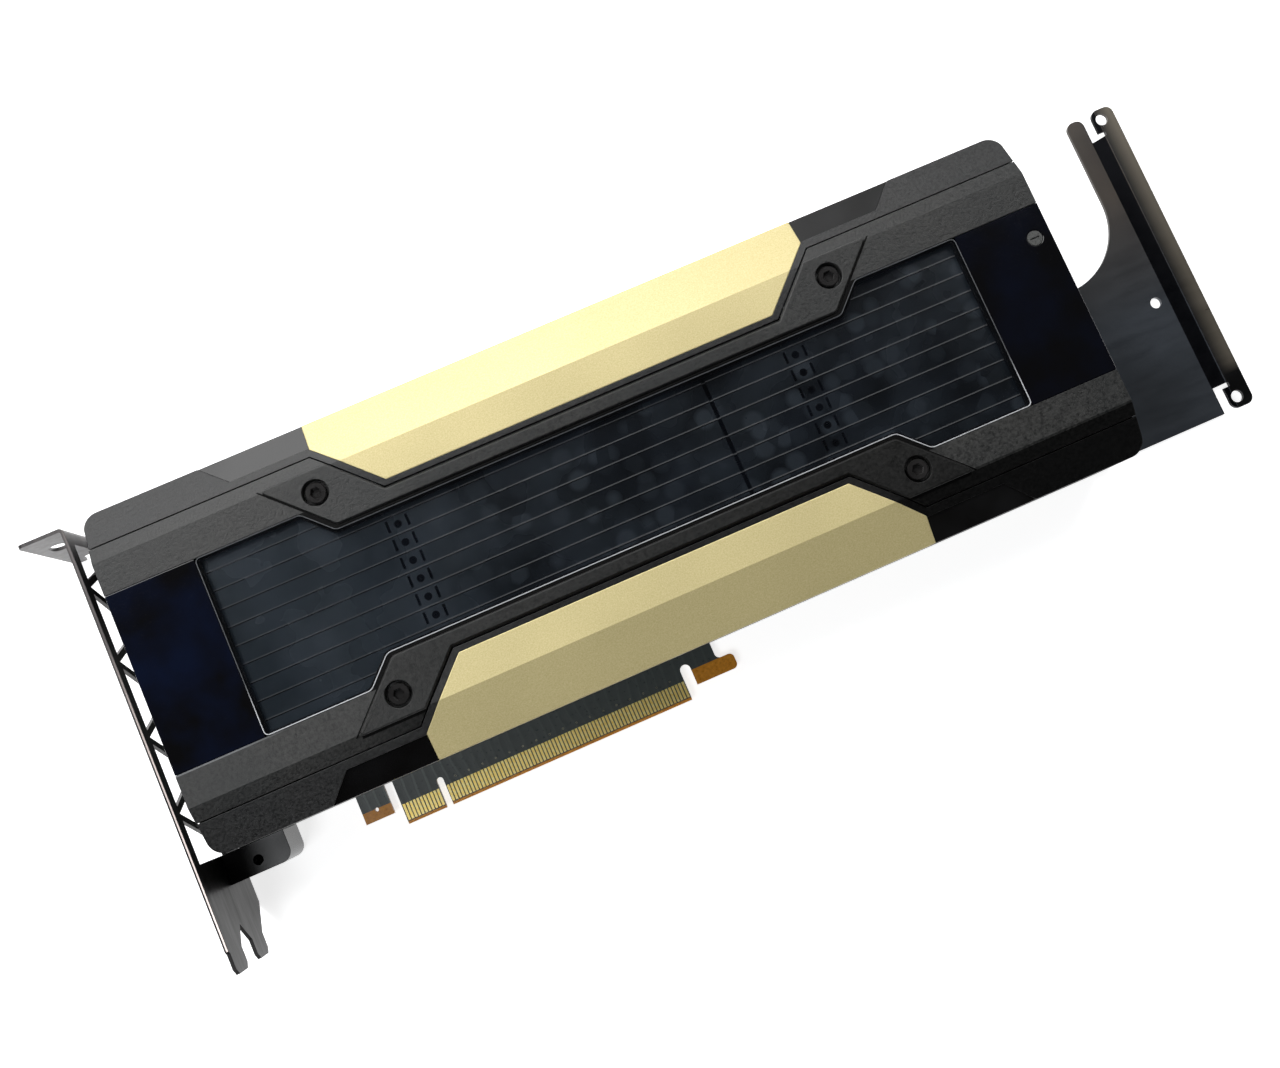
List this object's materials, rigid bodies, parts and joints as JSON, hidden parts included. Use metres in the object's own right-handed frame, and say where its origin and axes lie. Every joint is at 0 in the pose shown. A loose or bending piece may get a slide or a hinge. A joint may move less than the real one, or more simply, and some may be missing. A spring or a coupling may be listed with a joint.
{
  "type": "passive accelerator card",
  "caption": "Passive two-slot PCIe accelerator card with a vented slot bracket, finned heat sink under a gold-trimmed cover and a full-length extender at the tail",
  "frame": {"origin": "on the outer face of the slot bracket, level with the tips of the edge contacts and with the board's component side", "axes": "X runs along the card from the slot bracket to the tail, Y goes up from the edge contacts to the card's top edge, Z rises from the board's component side to the cover; the card lies on its back plate"},
  "size_m": [0.3234, 0.125, 0.0391],
  "materials": {
    "solder_mask": "dark green-grey solder mask",
    "gold_contact": "gold-plated contacts",
    "package_green": "laminate package",
    "silicon": "dark silicon",
    "thermal_grey": "soft thermal material",
    "moulded_dark": "moulded component body",
    "polymer_block": "moulded polymer block",
    "inlet_black": "black housing",
    "inlet_pin": "tin-plated pins",
    "base_metal": "dark anodised base",
    "fin_metal": "black-plated fins",
    "post_metal": "turned posts",
    "cover_black": "finely textured black",
    "gold_cover": "pale gold, satin",
    "gloss_black": "smooth gloss black",
    "window_tint": "dark tinted window",
    "screw_black": "black screw",
    "back_black": "satin black",
    "film_black": "insulating film",
    "spacer_metal": "turned spacer",
    "bracket_steel": "satin black steel",
    "lug_black": "smooth black lug",
    "extender_steel": "satin dark steel"
  },
  "bodies": {
    "root": {"board": "solder_mask", "edge_contacts": "gold_contact", "processor_package": "package_green", "processor_die": "silicon", "memory_stacks": "silicon", "thermal_paste": "thermal_grey", "power_chokes": "moulded_dark", "power_stages": "moulded_dark", "thermal_pads": "thermal_grey", "capacitors": "polymer_block", "power_inlet": "inlet_black", "inlet_pins": "inlet_pin", "heat_sink_base": "base_metal", "cooling_fins": "fin_metal", "cover_posts": "post_metal", "cover_frame": "cover_black", "side_shell_upper": "cover_black", "side_shell_lower": "cover_black", "gold_inlay_upper": "gold_cover", "gold_inlay_lower": "gold_cover", "side_inlays": "gloss_black", "window_panel": "window_tint", "end_panel_left": "gloss_black", "end_panel_right": "gloss_black", "panel_screw": "screw_black", "brace_upper": "cover_black", "brace_lower": "cover_black", "brace_screws": "screw_black", "back_plate": "back_black", "insulating_sheet": "film_black", "board_spacers": "spacer_metal", "back_screws": "screw_black", "io_bracket": "bracket_steel", "bracket_lugs": "lug_black", "bracket_screws": "screw_black", "lug_screws": "screw_black", "extender_plate": "extender_steel", "extender_standoffs": "spacer_metal", "extender_screws": "screw_black"}
  },
  "joints": []
}
